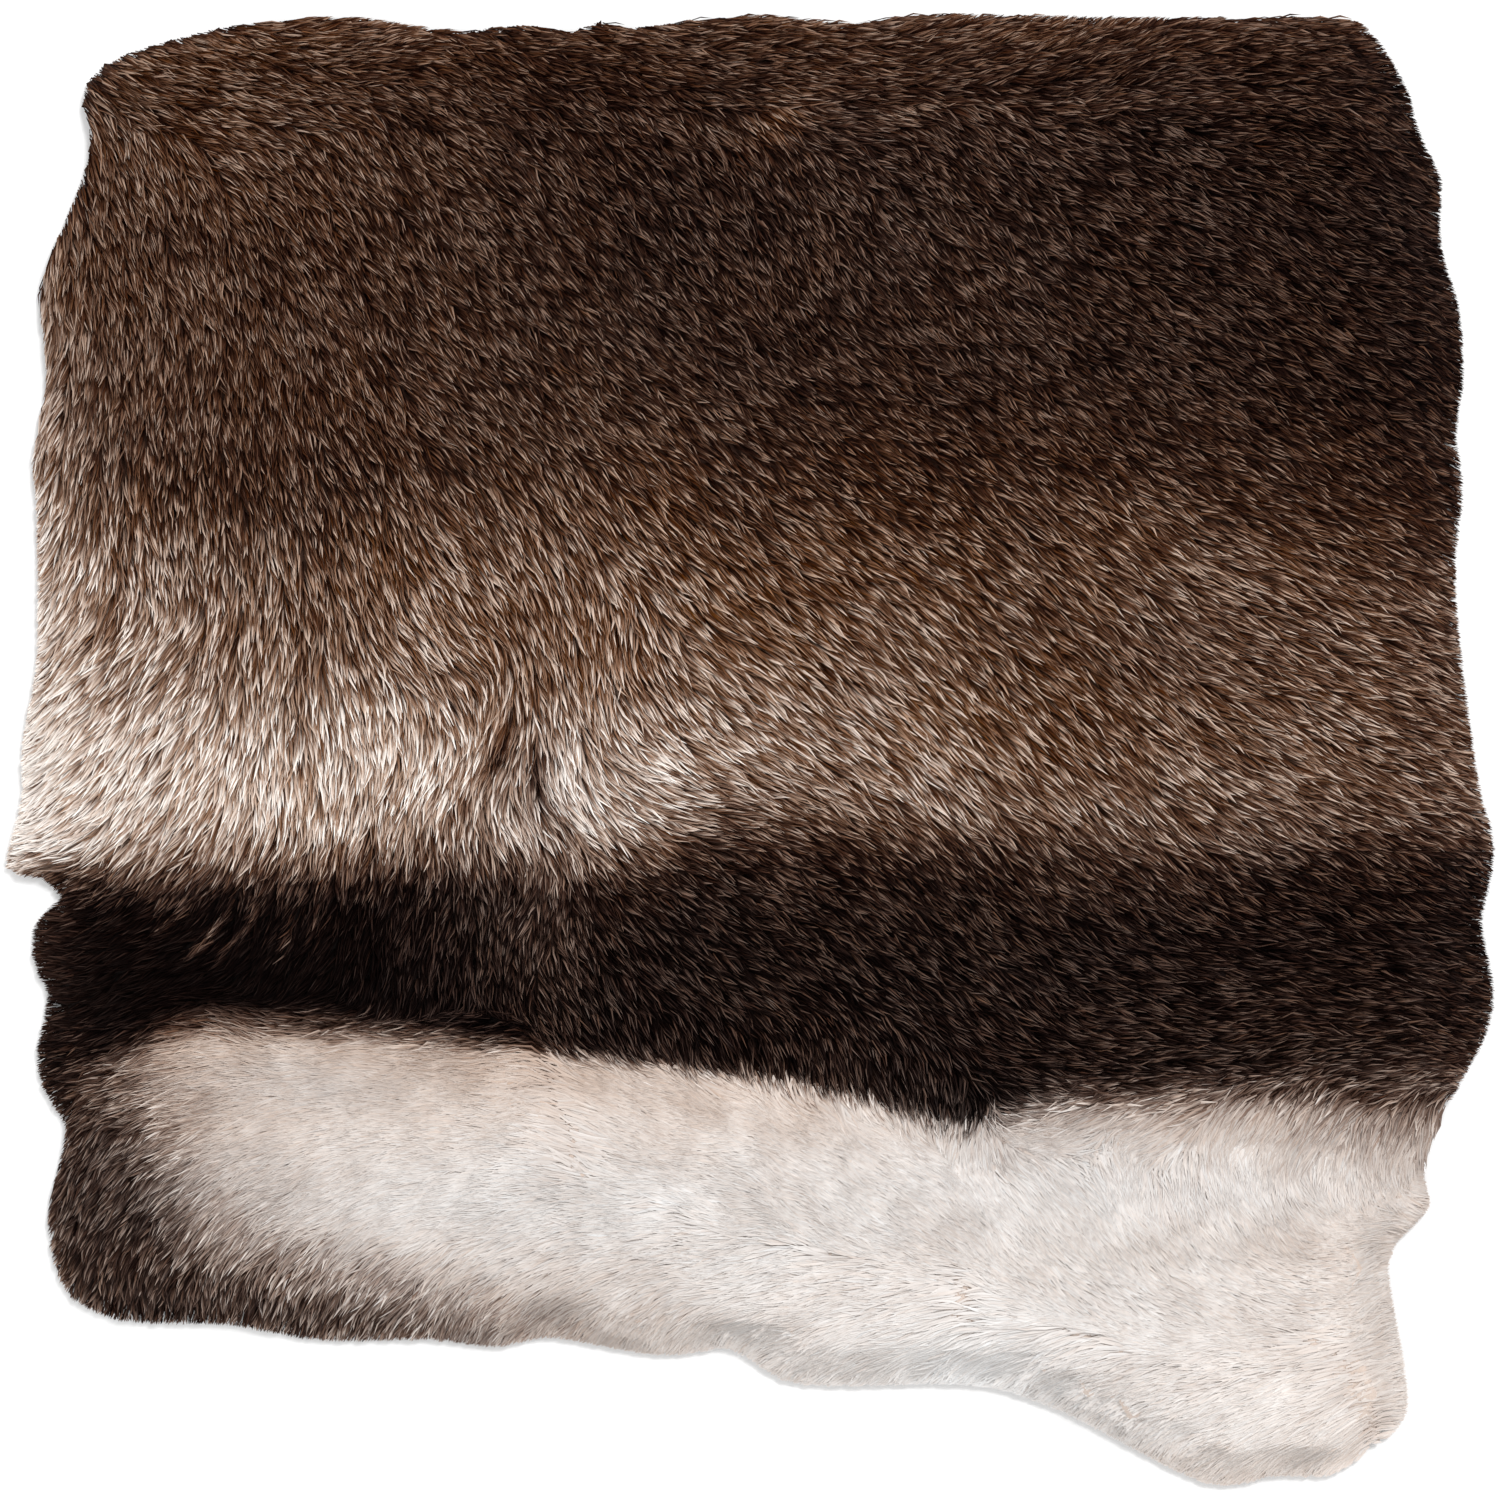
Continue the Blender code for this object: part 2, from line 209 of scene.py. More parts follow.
combedLay = [
    # back, above its parting
    (-185, 184, -40), (-157, 188, -20), (-104, 192, 4), (-51, 188, -16), (3, 188, -6), (56, 188, 8),
    (100, 188, 17), (163, 188, -8), (-150, 172, -18), (-112, 174, -20), (-60, 174, -34), (30, 176, -10),
    (120, 176, -6),
    # back
    (-160, 154, -66), (-175, 150, -72), (-104, 157, -54), (-51, 157, -48), (3, 154, -54), (56, 155, -46),
    (109, 155, -34), (165, 155, -28), (-188, 128, -88), (-157, 131, -68), (-104, 128, -56),
    (-40, 125, -50), (14, 132, -58), (56, 125, -48), (136, 125, -35), (180, 130, -20), (-188, 90, -102),
    (-157, 90, -88), (-131, 84, -80), (-104, 80, -60), (-77, 90, -46), (-24, 90, -40), (29, 90, -36),
    (83, 90, -40), (150, 90, -34), (188, 100, -28),
    # flank
    (-188, 48, -118), (-157, 50, -82), (-104, 50, -74), (-77, 51, -52), (-24, 50, -45), (29, 51, -34),
    (70, 50, -40), (136, 51, -28), (186, 45, -28), (-188, 20, -134), (-157, 22, -124), (-131, 20, -95),
    (-104, 10, -78), (56, 20, -47), (100, 20, -43), (136, 22, -25), (180, 22, -21), (-190, -10, -142),
    (-157, -8, -120), (-120, -6, -92), (56, -5, -45), (100, -10, -44), (140, -12, -30), (185, -10, -23),
    # whorl
    (-87, 21, -45), (-79, 10, -55), (-73, 24, -36), (-70, 31, -50), (-65, 25, -74), (-65, 17, -100),
    (-67, 12, -106), (-57, 19, -76), (-51, 22, -65), (-44, 20, -86), (-56, 11, -80), (-36, 27, -90),
    (-29, 21, -60), (-23, 15, -55), (-13, 18, -40), (0, 27, -36), (10, 18, -42), (-64, 3, -118),
    (-69, -6, -120), (-61, -7, -100), (-56, -3, -90), (-49, 1, -72), (-45, 4, -74), (-47, -5, -72),
    (-53, -12, -46), (-47, -16, -45), (-41, -19, -35), (-57, -11, -84), (-33, -3, -35), (-27, -9, -25),
    (-17, -3, -35), (-20, -15, -12), (-13, -17, -6), (-7, -19, -10), (7, -15, -20), (0, -5, -30),
    (20, -6, -36), (-91, 6, -85), (-84, 3, -100), (-89, -9, -114), (-77, -9, -117), (-88, -22, -95),
    (-77, -25, -78), (-71, -25, -75), (-67, -29, -65), (-63, -22, -50), (-70, -17, -76), (-73, -13, -100),
    (-52, -25, -65), (-47, -29, -68), (-40, -32, -50), (-33, -29, -38), (-27, -29, -30), (-20, -35, -32),
    (-7, -32, -25), (7, -32, -30), (-52, -32, -95), (-57, -36, -114), (-61, -42, -124), (-53, -41, -96),
    (-47, -39, -65), (-33, -42, -45), (-69, -36, -76), (-84, -39, -108),
    # stripe
    (-190, -30, -168), (-157, -32, -130), (-128, -32, -112), (-104, -30, -102), (56, -34, -44),
    (109, -30, -36), (160, -34, -26), (-192, -58, 178), (-160, -58, -155), (-128, -58, -124),
    (-92, -58, -100), (-66, -58, -88), (-46, -60, -60), (-20, -60, -38), (6, -62, -30), (40, -62, -34),
    (70, -66, -34), (109, -68, -12), (150, -66, -8), (188, -66, -14),
    # the white coat's upper edge
    (-185, -84, -164), (-162, -75, -155), (-149, -75, -175), (-132, -73, 160), (-120, -82, 178),
    (-95, -83, 180), (-70, -80, -175), (-62, -84, -168), (-50, -74, -62), (-36, -76, -66),
    (-20, -79, -74), (0, -83, -78), (14, -87, -82), (28, -90, -80), (42, -95, -84), (54, -101, -100),
    (-44, -84, -14), (-26, -87, -16), (-6, -91, -18), (14, -95, -22), (30, -100, -26), (42, -105, -30),
    (75, -86, -14), (109, -84, 4), (136, -82, 12), (165, -84, 6), (84, -101, -156), (109, -102, -154),
    (136, -101, -128), (152, -100, -130), (172, -106, -112),
    # white coat
    (-166, -90, -166), (-145, -92, -174), (-120, -92, -178), (-95, -94, 177), (-70, -94, 177),
    (-166, -107, -140), (-149, -105, -156), (-128, -104, -160), (-112, -102, -162), (-84, -104, -174),
    (-62, -106, 176), (-128, -115, -158), (-112, -113, -158), (-87, -114, -171), (-58, -116, -174),
    (-42, -97, -26), (-54, -102, 168), (-38, -108, -18), (-25, -112, -12), (-8, -108, -14),
    (-13, -118, -22), (4, -110, -32), (14, -120, -38), (32, -113, -26), (23, -124, -36), (37, -131, -26),
    (54, -123, -38), (62, -120, -50), (68, -136, -44), (82, -113, -50), (92, -120, -54), (82, -128, -48),
    (107, -131, -48), (87, -140, -40), (98, -111, -80), (112, -112, -86), (122, -116, -72),
    (127, -122, -54), (136, -112, -84), (147, -118, -42), (157, -108, -100), (162, -113, -72),
    (167, -117, -46), (176, -121, -20), (162, -126, -12), (157, -131, -2), (152, -138, -4),
    (167, -136, 22), (132, -138, -26), (122, -146, -32), (142, -145, -10), (107, -151, -18),
    (99, -146, -30), (62, -148, -10), (168, -150, 16), (172, -164, 4), (172, -174, 0), (-25, -123, -178),
    (-38, -123, 178), (-12, -134, -174), (-25, -130, -170), (14, -135, -178), (30, -139, -168),
    (48, -145, -176),
    # lower edge
    (-178, -110, -122), (-182, -118, -106), (-174, -113, -126), (-162, -117, -126), (-150, -114, -140),
    (-170, -126, -128), (-145, -118, -140), (-112, -121, -158), (-90, -127, -155), (-70, -124, -164),
    (-128, -126, -136), (-104, -130, -142), (-141, -130, -130), (-162, -136, -115), (-176, -136, -110),
    (-152, -132, -124), (-116, -135, -130), (-162, -144, -98), (-145, -144, -100), (-128, -143, -106),
    (-112, -146, -110), (-95, -142, -130), (-78, -150, -116), (-74, -138, -140), (-62, -132, -156),
    (-57, -136, -146), (-62, -146, -136), (-39, -133, -165), (-36, -140, -154), (-47, -143, -136),
    (-42, -149, -134), (-27, -153, -128), (-8, -140, -166), (4, -142, -162), (12, -150, -154),
    (38, -150, -168), (4, -154, -144), (-12, -154, -134), (21, -160, -140), (16, -166, -130),
    (42, -153, -164), (50, -158, -150), (42, -163, -140), (56, -165, -130), (66, -160, -146),
    (77, -168, -134), (87, -164, -146), (107, -166, -156), (117, -163, -166), (135, -160, -176),
    (112, -175, -144), (127, -176, -150), (137, -171, -151), (147, -168, -160), (147, -186, -132),
    (157, -181, -140), (127, -188, -134), (112, -184, -120), (97, -178, -120),
]
combing = {"reach": 6.5, "falloff": 2.0}  # mm over which one combed heading is felt, and how fast that fades


def combHair(places):  # for each place: the mean of the doubled headings, then the mean of the plain ones
    table = np.array(combedLay, float)
    heading = np.radians(table[:, 2])
    apart = ((places[:, None] / mm - table[None, :, :2]) ** 2).sum(2)
    weight = 1 / (apart + combing["reach"] ** 2) ** combing["falloff"]
    weight /= weight.sum(1)[:, None]
    strokes = [np.cos(2 * heading), np.sin(2 * heading), np.cos(heading), np.sin(heading)]
    return weight @ np.column_stack(strokes)


layMap = np.concatenate([combHair(part) for part in np.array_split(cells, 40)]).reshape(*cellX.shape, 4)
print("lay combed from", len(combedLay), "headings")


# How pale the coat is, from 0, black, to 1, white. Each line runs across the hide from left to right,
# and the coat shades evenly from one line down to the next. Columns: x, y, paleness

coatLines = {
    "cut back edge": [(-200, 197, 0.42), (-100, 197, 0.36), (-60, 197, 0.28), (20, 197, 0.34),
        (120, 197, 0.28), (200, 197, 0.24)],
    "above the parting": [(-160, 180, 0.34), (-105, 180, 0.3), (-55, 178, 0.22), (20, 178, 0.27),
        (100, 178, 0.2), (180, 178, 0.14)],
    "under the parting": [(-160, 160, 0.36), (-110, 160, 0.31), (-60, 160, 0.25), (-12, 160, 0.2),
        (14, 160, 0.25), (90, 162, 0.19), (150, 164, 0.165), (185, 164, 0.12)],
    "dark back": [(-160, 138, 0.3), (-85, 138, 0.27), (-20, 140, 0.19), (50, 140, 0.22),
        (140, 145, 0.145), (190, 140, 0.12)],
    "lower back": [(-195, 92, 0.4), (-172, 92, 0.34), (-160, 92, 0.33), (-60, 96, 0.28), (-36, 92, 0.28),
        (10, 92, 0.23), (120, 95, 0.19), (190, 90, 0.12)],
    "flank begins": [(-195, 76, 0.5), (-172, 76, 0.37), (-150, 76, 0.32), (-60, 72, 0.36),
        (-34, 70, 0.37), (20, 70, 0.28), (100, 74, 0.26), (140, 70, 0.28), (190, 66, 0.22)],
    "flank": [(-190, 48, 0.64), (-162, 48, 0.58), (-136, 48, 0.48), (-112, 48, 0.43), (-86, 50, 0.52),
        (-60, 48, 0.48), (-36, 46, 0.51), (0, 44, 0.44), (38, 44, 0.45), (64, 48, 0.4), (110, 48, 0.42),
        (160, 46, 0.41), (190, 46, 0.33)],
    "lower flank": [(-162, 22, 0.67), (-136, 22, 0.58), (-86, 22, 0.59), (-62, 24, 0.5), (-30, 20, 0.57),
        (14, 20, 0.54), (40, 22, 0.49), (64, 22, 0.44), (112, 20, 0.42), (160, 22, 0.45),
        (190, 20, 0.38)],
    "pale band": [(-190, 0, 0.86), (-160, 0, 0.86), (-136, 0, 0.8), (-112, 0, 0.81), (-88, 0, 0.75),
        (-64, 0, 0.63), (-45, -2, 0.77), (-28, -2, 0.75), (-8, 0, 0.64), (14, 0, 0.59), (40, 2, 0.58),
        (64, 0, 0.52), (90, 0, 0.46), (160, -2, 0.46), (190, -2, 0.4)],
    "pale band's foot": [(-200, -28, 0.86), (-186, -25, 0.84), (-170, -22, 0.77), (-130, -17, 0.76),
        (-88, -18, 0.69), (-62, -20, 0.63), (-42, -20, 0.71), (-26, -18, 0.63), (-10, -12, 0.53),
        (20, -10, 0.5), (45, -11, 0.59), (62, -12, 0.51), (90, -14, 0.49), (112, -17, 0.48),
        (190, -15, 0.41)],
    "stripe begins": [(-200, -36, 0.45), (-186, -33, 0.25), (-172, -32, 0.23), (-160, -32, 0.37),
        (-130, -33, 0.26), (-90, -34, 0.17), (-60, -38, 0.21), (-20, -30, 0.25), (20, -30, 0.21),
        (60, -32, 0.21), (90, -34, 0.25), (112, -35, 0.2), (190, -32, 0.16)],
    "stripe": [(-190, -42, 0.07), (-100, -43, 0.06), (-60, -50, 0.2), (-30, -50, 0.14), (60, -50, 0.13),
        (190, -50, 0.11)],
    "stripe's foot": [(-200, -86, 0.1), (-172, -78, 0.08), (-147, -66, 0.06), (-100, -68, 0.055),
        (-53, -77, 0.1), (0, -83.5, 0.12), (30, -90, 0.15), (56, -98, 0.11), (80, -86, 0.14),
        (130, -84, 0.17), (190, -79, 0.19)],
    "white line": [(-200, -125, 0.26), (-180, -93, 0.22), (-168, -84, 0.44), (-147, -78, 0.68),
        (-100, -79, 0.71), (-75, -81, 0.67), (-53, -82, 0.71), (0, -88, 0.78), (30, -94, 0.76),
        (54, -101, 0.73), (68, -101, 0.68), (80, -97, 0.66), (130, -97, 0.69), (165, -101, 0.65),
        (190, -105, 0.6)],
    "white belly": [(-190, -126, 0.3), (-176, -108, 0.25), (-164, -103, 0.32), (-156, -102, 0.5),
        (-148, -101, 0.62), (-132, -100, 0.74), (-110, -100, 0.77), (-50, -98, 0.79), (0, -100, 0.795),
        (60, -112, 0.795), (90, -109, 0.795), (130, -108, 0.79), (165, -112, 0.79), (190, -119, 0.78)],
    "grey corner": [(-190, -140, 0.43), (-172, -124, 0.25), (-162, -122, 0.25), (-150, -122, 0.42),
        (-140, -124, 0.6), (-124, -124, 0.65), (-108, -125, 0.74), (-92, -128, 0.77), (-60, -132, 0.77),
        (0, -132, 0.785), (60, -132, 0.79), (190, -132, 0.785)],
    "belly edge": [(-190, -158, 0.35), (-150, -149, 0.26), (-120, -150, 0.35), (-92, -150, 0.49),
        (-60, -154, 0.63), (-35, -155, 0.73), (-10, -160, 0.8), (30, -168, 0.85), (62, -172, 0.89),
        (100, -198, 0.84), (200, -198, 0.83)],
}


# Places where the coat is paler or darker than its lines say. Columns: x, y, half length, half width,
# turn in degrees, change in paleness
coatMarks = [
    (7, 168, 9, 4, 38, 0.16),  # rubbed tuft on the parting
    (-16, 166, 12, 1.5, 0, 0.15), (40, 169, 15, 1.5, 8, 0.12), (80, 171, 26, 1.5, 1, 0.12),  # pale parting
    (125, 172, 24, 1.5, 0, 0.10), (160, 170, 15, 1.5, -12, 0.10), (-168, 161, 10, 1.5, 2, 0.12),
    (114.5, 115.5, 2.4, 0.7, -38, 0.25),  # stray pale hairs on the back
    # pale strands that reach over the stripe
    (-157, -41, 4, 0.6, 36, 0.4), (-152, -44, 5, 0.6, 44, 0.4), (-144, -50, 5, 0.6, 52, 0.4),
    (-141, -46, 4, 0.6, 55, 0.4), (-137, -51, 3.5, 0.6, 60, 0.4), (-122, -48, 5, 0.7, 78, 0.4),
    (-131, -43, 4, 0.7, 62, 0.35), (-115, -44, 4, 0.7, 80, 0.3),
    (0, 130, 260, 60, 0, 0.014), (-130, 140, 60, 40, 0, 0.018),  # the back a little paler
    (60, 75, 140, 22, 0, 0.02),
    (-194, 60, 16, 150, 0, 0.17),  # front edge paler
    (-195, 10, 12, 60, 0, 0.08),
    (-110, 70, 40, 7, 4, -0.04),  # darker bars over the flank
    (-67, -1, 8, 2.2, 62, -0.5),  # painted shade of the cleft beside the whorl
    (-56.5, -6, 7, 1.6, 94, -0.5),  # the painted shade's dark middle
    (-53, -14, 5, 1.3, -48, -0.3),
    (-61, -7, 5, 1.2, 78, 0.28),  # bright strands beside it
    (-47, 0, 8, 2.4, -72, 0.26), (-52, -11, 5, 1.4, -46, 0.26), (-43, -17, 6, 1.6, -40, 0.14),
    (-72, 9, 6, 1.6, -50, -0.14), (-64, -32, 4, 4, 0, -0.16), (-23, 15, 5, 1.5, -55, -0.12),
    (-88, -22, 3, 1.2, 84, -0.3), (-76, -12, 4, 1.2, 60, -0.2), (-142, -18, 5, 1.4, 70, -0.2),
    (-118, 24, 3, 14, -12, -0.10),  # painted shade of a cleft in the flank
    (-120, 4, 4, 10, 10, -0.06),
    (-92, 12, 14, 10, 0, 0.05), (-86, 46, 20, 8, 10, -0.03),
    (112, -26, 10, 10, 0, 0.06), (-52, -52, 9, 20, 10, 0.06), (100, 60, 26, 10, -20, 0.05),
    (100, -133, 9, 14, -40, -0.03), (135, -128, 8, 12, -40, -0.02),  # beige patches in the white
    (130, -150, 10, 5, 0, -0.02),
    (-18, -110, 14, 5, -10, -0.025), (-6, -96, 20, 4, -14, -0.03), (40, -125, 8, 5, -30, -0.02),
]


# Where the coat is warmer (+) or greyer (-) than its paleness says. The same columns
warmMarks = [
    (-150, 150, 90, 70, 0, 0.35), (0, 190, 200, 16, 0, 0.3), (7, 168, 10, 5, 38, 0.4),
    (60, 60, 160, 40, 0, 0.3), (-60, 30, 200, 40, 0, 0.3), (100, 0, 120, 20, 0, 0.3),
    (-110, -112, 60, 18, -6, -0.3), (120, -112, 70, 12, 0, -0.5), (-40, 24, 40, 14, -30, 0.1),
    (-125, -8, 50, 14, 0, 0.3),
    (-56, -6, 14, 14, 0, -0.5),  # the whorl's hair is greyer
    (0, -60, 220, 24, 0, -0.3), (-110, -38, 70, 8, 0, -0.2),
    (70, -100, 60, 14, -4, -0.3), (160, -100, 50, 14, 0, -0.3),
    (60, -150, 180, 46, 0, -1.1), (110, -182, 90, 20, 0, -0.4), (62, -164, 22, 12, 0, -0.4),
    (-115, -88, 40, 8, -4, -0.5), (-60, -115, 120, 24, 0, -0.7),
]


# Where the hairs differ less (+) in tone from their neighbours. The same columns
calmMarks = [
    (-155, -60, 60, 22, 0, 0.6), (190, 120, 50, 90, 0, 0.25), (170, -60, 60, 20, 0, 0.2),
    (-190, -60, 16, 120, 0, 0.2),
]


def sumOfMarks(marks, x, y):
    total = np.zeros(len(x))
    for cx, cy, halfLength, halfWidth, turn, change in marks:
        c, s = math.cos(math.radians(turn)), math.sin(math.radians(turn))
        along, aside = ((x - cx) * c + (y - cy) * s) / halfLength, ((y - cy) * c - (x - cx) * s) / halfWidth
        total += change * np.exp(-along ** 2 - aside ** 2)
    return total


def paleness(places):
    x, y = places[:, 0] / mm, places[:, 1] / mm
    heights, levels = [], []
    for line in coatLines.values():
        at, height, level = zip(*line)
        heights.append(np.interp(x, at, height))
        levels.append(np.interp(x, at, level))
    total = levels[0].copy()
    for k in range(1, len(levels)):
        t = np.clip((heights[k - 1] - y) / np.maximum(heights[k - 1] - heights[k], 0.5), 0, 1)
        total += (levels[k] - levels[k - 1]) * t
    return total + sumOfMarks(coatMarks, x, y)


paleMap = paleness(cells).reshape(cellX.shape)
warmMap = sumOfMarks(warmMarks, *(cells.T / mm)).reshape(cellX.shape)
calmMap = sumOfMarks(calmMarks, *(cells.T / mm)).reshape(cellX.shape)
# The white coat starts under one of the lines, over fade mm, where the coat is pale enough
whiteCoat = {"top": "stripe's foot", "fade": 6, "darkest": 0.42, "palest": 0.72}
bellyTop = np.interp(cellX / mm, *list(zip(*coatLines[whiteCoat["top"]]))[:2])
bellyMap = np.clip((bellyTop - cellY / mm) / whiteCoat["fade"], 0, 1)
bellyMap *= np.clip((paleMap - whiteCoat["darkest"]) / (whiteCoat["palest"] - whiteCoat["darkest"]), 0, 1)
print("coat shaded along", len(coatLines), "lines")


# Hair

hair = {
    "zones": {  # name: lowest y of the zone in mm, hairs to each square mm, steps in a hair
        "backFur": (140, 2.6, 2),
        "lowBackFur": (84, 2.6, 2),
        "flankFur": (24, 1.45, 3),
        "bandFur": (-34, 1.5, 3),
        "stripeFur": (-88, 2.1, 2),
        "bellyFur": (-126, 2.3, 2),
        "bellyEdgeFur": (-210, 1.3, 3),
    },
    # mm, by the coat's paleness
    "length": [(0.0, 7.0), (0.1, 7.0), (0.2, 5.8), (0.3, 6.4), (0.5, 10.5), (0.75, 13.0), (1.0, 14.0)],
    "lengthSpread": (0.75, 1.2),
    "width": [(0.0, 0.38), (0.15, 0.38), (0.3, 0.43), (0.5, 0.49), (0.7, 0.56), (0.8, 0.74), (1.0, 0.8)],
    "widthSpread": (0.7, 1.25),
    "rootInset": 0.9 * mm,  # how far inside the line through the locks' tips the outermost hairs start
    "sink": 3.4 * mm,  # how far under the coat's top a hair starts
    "sinkCurve": 1.6,
    "rimShallow": (6 * mm, 0.25),  # width of the rim where hairs start higher, and their least sink there
    "lowest": 0.8 * mm,  # least height of any part of a hair over the ground
    "tipLift": 0.45 * mm,  # how far tips stand over the coat's top
    "layerSpread": 0.6 * mm,  # how much they differ in height
    "rollSpread": 0.5,  # radians that a blade is turned about its own length
    "rollLimit": 1.1,
    "rounding": 0.9,  # how round a blade is shaded across
    "taper": {2: (0.7, 1.0, 0), 3: (0.6, 1.0, 0.85, 0)},  # a blade's width at each step, by its steps
    "bellyCalm": 0.95,  # how much less the white hairs differ in height, turn and roundness
    "bellySink": 0.16,  # how deep the white hairs start, beside the others
    "partSink": 0.3,  # the same for hairs on a parting
    "headingSpread": 0.08,  # radians
    "bend": 0.26,  # radians that a hair turns along its length
    "clumps": {  # what hairs of a clump share, with pitch and lift in mm and turn in radians
        "strand": {"pitch": 1.5, "pull": 0.5, "turn": 0.12, "lift": 0.35, "tone": 0.6},
        "tuft": {"pitch": 5.2, "pull": 0.3, "turn": 0.18, "lift": 0.5, "tone": 0.15},
    },
    "clumpReach": 0.95,  # length of a clump's middle line, beside its hairs
    "bellyEven": 0.7,  # how much less the white hairs draw together into clumps
    "partBlur": 0.6,  # how widely the two ways mix along a parting
    "standing": 0.4,  # how much shorter a hair reaches where it stands up at a parting
    "standWidth": 0.8,
    "overhang": 0.35 * mm,  # how far tips may pass the line through the locks' tips, at most
    "overhangSpread": (-1.5, 1.0),
    "edgeFan": 0.35,  # how much the hair within fanDepth of the edge turns outwards
    "fanDepth": 9.0 * mm,
    "ownTone": 0.85,  # spread of the hairs' own tones, as a normal draw's deviation
    "toneLimit": 1.9,
    "toneMiddle": 0.25,  # tone of a hair that is just as pale as its place
    "colourAt": (0.15, 0.8),  # the part of a hair whose place gives its colour
    # how far tone moves a hair's paleness, and how much paler than its place a hair can be, by paleness
    "paleSpread": [(0.05, 1.15), (0.13, 1.1), (0.25, 0.62), (0.45, 0.46), (0.7, 0.3), (0.8, 0.25), (1, 0.2)],
    "palest": [(0.05, 0.14), (0.13, 0.26), (0.3, 0.32), (1.0, 0.3)],
    "bellySpread": 0.08,  # how much of paleSpread the white hairs have
    "topHairs": 0.5,  # how closely the paler hairs are also the ones that lie on top
    "toneWarmth": 0.12,  # how much greyer the paler hairs are, and how much warmer the darker ones
    "warmthSpread": 0.15,
    "gapShadeHairs": 0.035,  # share of hairs painted dark among the pale ones of band and flank: painted shade of the gaps between them
    "gapShadeTone": (0.25, 0.6),
    "oddHairs": 0.03,  # share of beige hairs in the white coat
    "oddTone": (0.02, 0.09),
    "paleLimits": (0.02, 0.98),
    "rootShade": 0.22,  # painted shade: how dark a hair is painted at its root, deep in the coat, beside its tip
    "bellyRootShade": 1.0,  # the same in the white coat: roots painted unshaded, as painted light for light shining through white hair
    # painted highlight: how much brighter than its own colour a hair's tip is painted
    "tipShade": 1.12,
    "shadeCurve": 1.3,
    "seed": 11,
}


def tableOf(name, at):
    xs, ys = zip(*hair[name])
    return np.interp(at, xs, ys)


def clumpOf(places, draws, pitch):  # the middle of the nearest clump, and that clump's own random numbers
    home = np.floor(places / pitch).astype(int)
    best = np.full(len(places), 1e9)
    middle = np.zeros_like(places)
    numbers = np.zeros((len(places), 3))
    for dx in (-1, 0, 1):
        for dy in (-1, 0, 1):
            cell = home + (dx, dy)
            drawn = draws[cell[:, 0] % len(draws), cell[:, 1] % len(draws)]
            at = (cell + 0.15 + 0.7 * drawn[:, :2]) * pitch
            apart = ((at - places) ** 2).sum(1)
            nearer = apart < best
            best[nearer] = apart[nearer]
            middle[nearer] = at[nearer]
            numbers[nearer] = drawn[nearer][:, 2:]
    return middle, (numbers.T - 0.5) * 2


def turned(way, angle):
    c, s = np.cos(angle), np.sin(angle)
    return np.column_stack([way[:, 0] * c - way[:, 1] * s, way[:, 0] * s + way[:, 1] * c])


def scatterRoots(topY, lowY, density, rng):
    pitch = mm / math.sqrt(density)
    across = int((cadHigh.x - cadLow.x) / pitch) + 1
    rows = int((topY - lowY) * mm / pitch) + 1
    column, row = np.meshgrid(np.arange(across), np.arange(rows))
    places = np.column_stack([column.ravel(), row.ravel()]) + rng.random((across * rows, 2))
    places = places * pitch + (cadLow.x, lowY * mm)
    return places[(readMap(edgeMap, places) > hair["rootInset"]) & (places[:, 1] < topY * mm)]


def unit(vectors):
    return vectors / np.maximum(np.linalg.norm(vectors, axis=-1, keepdims=True), 1e-9)


def layAt(places):  # the line that hair lies along, and how surely it points that way (-1 to 1)
    strokes = readMap(layMap, places)
    angle = np.arctan2(strokes[:, 1], strokes[:, 0]) / 2
    line = np.column_stack([np.cos(angle), np.sin(angle)])
    return line, (line * strokes[:, 2:]).sum(1)


def wayAt(places, like):  # the way that hair points, told by the way it pointed before
    line, _ = layAt(places)
    line *= np.where((line * like).sum(1) < 0, -1.0, 1.0)[:, None]
    depth = np.clip(1 - readMap(edgeMap, places) / hair["fanDepth"], 0, 1.2)
    outward = readMap(outwardMap, places)
    willing = np.clip(0.6 + (line * outward).sum(1), 0, 1)  # hair that lies away from the edge stays so
    return unit(line + outward * (hair["edgeFan"] * depth * willing)[:, None])


def walk(start, like, length, steps, turn, bend):  # the points of a hair that follows the lay
    points = [start]
    for k in range(steps):
        way = turned(wayAt(points[-1], like), turn + bend * (k / (steps - 1) - 0.5))
        points.append(points[-1] + way * (length / steps)[:, None])
    return points


